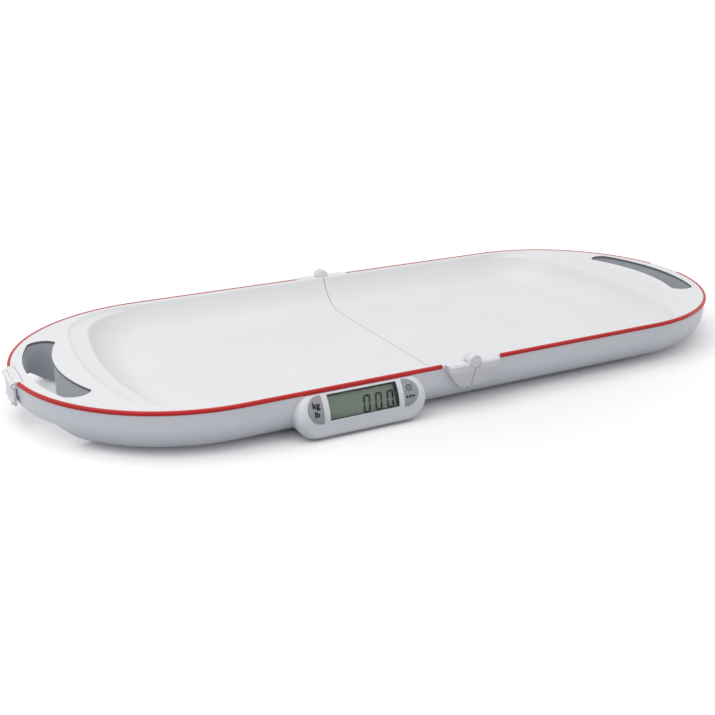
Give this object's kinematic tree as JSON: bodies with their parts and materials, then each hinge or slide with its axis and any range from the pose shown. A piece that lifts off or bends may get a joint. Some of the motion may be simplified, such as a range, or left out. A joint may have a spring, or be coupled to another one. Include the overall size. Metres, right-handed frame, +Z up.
{
  "type": "digital baby weighing scale",
  "caption": "Folding baby scale: a long shallow stadium tray in two hinged halves, a display pod with keys on the front and hand slots at the ends.",
  "frame": {"origin": "middle of the fold line, on the surface that the feet stand on", "axes": "+X along the tray towards the half without the display, +Y to the rear, +Z up"},
  "size_m": [0.7738, 0.3382, 0.0507],
  "materials": {
    "tray_white": "smooth satin moulding",
    "shell_white": "smooth satin moulding",
    "hinge_white": "smooth satin moulding",
    "cover_white": "fine matte moulding",
    "red_trim": "glossy",
    "grip_grey": "satin",
    "foot_rubber": "matte",
    "cell_steel": "stamped sheet",
    "screw_steel": "zinc plated",
    "pin_steel": "ground",
    "button_grey": "satin",
    "switch_black": "satin",
    "window_clear": "polished clear",
    "lcd_glass": "reflective display glass",
    "connector_rubber": "matte",
    "board_green": "solder mask",
    "chip_black": "matte",
    "battery_metal": "plain sleeve",
    "contact_nickel": "nickel plated spring steel"
  },
  "bodies": {
    "left_half": {"tray_left": "tray_white", "lower_shell_left": "shell_white", "trim_left_front": "red_trim", "trim_left_rear": "red_trim", "grip_liner_left": "grip_grey", "display_housing": "shell_white", "display_window": "window_clear", "lcd_panel": "lcd_glass", "lcd_connector": "connector_rubber", "display_board": "board_green", "controller_chip": "chip_black", "switch_unit": "switch_black", "switch_power": "switch_black", "battery_cells": "battery_metal", "battery_contacts": "contact_nickel", "load_cell_left_front": "cell_steel", "load_cell_left_rear": "cell_steel", "foot_left_front": "foot_rubber", "foot_left_rear": "foot_rubber", "hinge_bracket_left_front": "hinge_white", "hinge_bracket_left_rear": "hinge_white", "hinge_pin_front": "pin_steel", "hinge_pin_rear": "pin_steel", "latch_mount": "hinge_white", "latch_pin": "pin_steel", "screws_left": "screw_steel"},
    "right_half": {"tray_right": "tray_white", "lower_shell_right": "shell_white", "trim_right_front": "red_trim", "trim_right_rear": "red_trim", "grip_liner_right": "grip_grey", "latch_catch": "hinge_white", "load_cell_right_front": "cell_steel", "load_cell_right_rear": "cell_steel", "foot_right_front": "foot_rubber", "foot_right_rear": "foot_rubber", "hinge_bracket_right_front": "hinge_white", "hinge_bracket_right_rear": "hinge_white", "screws_right": "screw_steel"},
    "latch": {"latch_lever": "hinge_white"},
    "unit_key": {"button_unit": "button_grey"},
    "power_key": {"button_power": "button_grey"},
    "battery_door": {"battery_cover": "cover_white"}
  },
  "joints": [
    {"name": "tray_fold", "type": "hinge", "parent": "left_half", "child": "right_half", "pos_m": [0, 0, 0.0442], "axis": [0, -1, 0], "range_deg": [0, 180]},
    {"name": "latch_swing", "type": "hinge", "parent": "left_half", "child": "latch", "pos_m": [-0.386, 0, 0.0396], "axis": [0, 1, 0], "range_deg": [0, 180]},
    {"name": "unit_press", "type": "slide", "parent": "left_half", "child": "unit_key", "axis": [0, 0.9254, -0.379], "range_m": [0, 0.0008], "stiffness_N_per_m": 800, "springref_m": -0.0005},
    {"name": "power_press", "type": "slide", "parent": "left_half", "child": "power_key", "axis": [0, 0.9254, -0.379], "range_m": [0, 0.0008], "stiffness_N_per_m": 800, "springref_m": -0.0005},
    {"name": "cover_swing", "type": "hinge", "parent": "left_half", "child": "battery_door", "pos_m": [-0.117, -0.1406, 0.0041], "axis": [1, 0, 0], "range_deg": [0, 90]}
  ]
}
